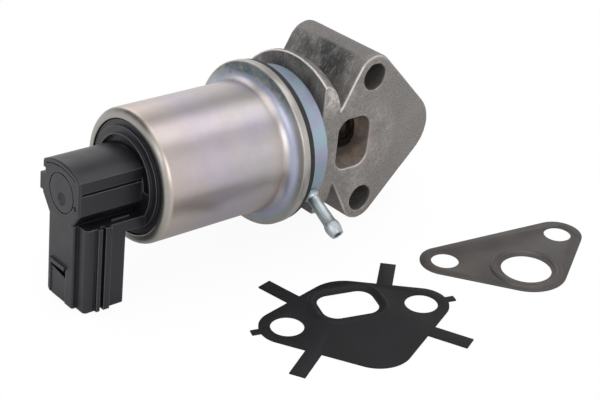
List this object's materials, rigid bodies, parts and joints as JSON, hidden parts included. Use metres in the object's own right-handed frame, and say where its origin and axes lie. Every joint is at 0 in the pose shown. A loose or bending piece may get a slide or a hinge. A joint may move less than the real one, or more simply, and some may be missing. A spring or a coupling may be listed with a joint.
{
  "type": "exhaust gas recirculation valve",
  "caption": "Solenoid exhaust gas recirculation valve: cast two-port flange body, round steel can, plastic sensor cap with plug socket, vent nipple, and loose flange gaskets.",
  "frame": {"origin": "midway between the two bolt holes, on the front flange face", "axes": "+X along the solenoid axis from the plug end to the casting's nose, +Z along the line of the two bolt holes, away from the plug socket's mouth, +Y into the casting from the front face"},
  "size_m": [0.1519, 0.1123, 0.0609],
  "materials": {
    "casting": "rough cast, stained",
    "bronze": "turned",
    "stainless": "turned",
    "seal_rubber": "matt",
    "zinc_ring": "bright zinc plate",
    "can_steel": "satin zinc plate",
    "screw_steel": "phosphated",
    "soft_iron": "ground",
    "copper_winding": "enamelled wire",
    "bobbin_plastic": "moulded",
    "cap_plastic": "glass-filled moulding",
    "pin_metal": "tin plate",
    "track_board": "printed board",
    "coated_sheet": "matt coating on steel",
    "gasket_steel": "heat-darkened sheet"
  },
  "bodies": {
    "root": {"valve_body": "casting", "valve_seat": "stainless", "guide_bush": "bronze", "stem_seal": "seal_rubber", "deflector": "stainless", "base_ring": "zinc_ring", "base_screws": "screw_steel", "vent_nipple": "zinc_ring", "rim_seal": "seal_rubber", "solenoid_can": "can_steel", "armature_sleeve": "stainless", "pole_piece": "soft_iron", "flux_washer": "soft_iron", "coil_bobbin": "bobbin_plastic", "coil_winding": "copper_winding", "return_spring": "stainless", "connector_cap": "cap_plastic", "cap_oring": "seal_rubber", "connector_pins": "pin_metal", "sensor_track": "track_board", "sensor_spring": "stainless", "coated_gasket": "coated_sheet", "steel_gasket": "gasket_steel"},
    "pintle": {"pintle": "stainless", "armature": "soft_iron"},
    "sensor_slider": {"sensor_carriage": "bobbin_plastic", "sensor_wiper": "pin_metal"}
  },
  "joints": [
    {"name": "valve_lift", "type": "slide", "parent": "root", "child": "pintle", "axis": [-1, 0, 0], "range_m": [0, 0.0045], "stiffness_N_per_m": 2000, "springref_m": -0.005, "deforming": ["return_spring"]},
    {"name": "sensor_slide", "type": "slide", "parent": "root", "child": "sensor_slider", "axis": [-1, 0, 0], "range_m": [0, 0.0045], "deforming": ["sensor_spring"]}
  ],
  "couplings": [
    {"joint": "sensor_slide", "follows": "valve_lift", "ratio": 1}
  ]
}
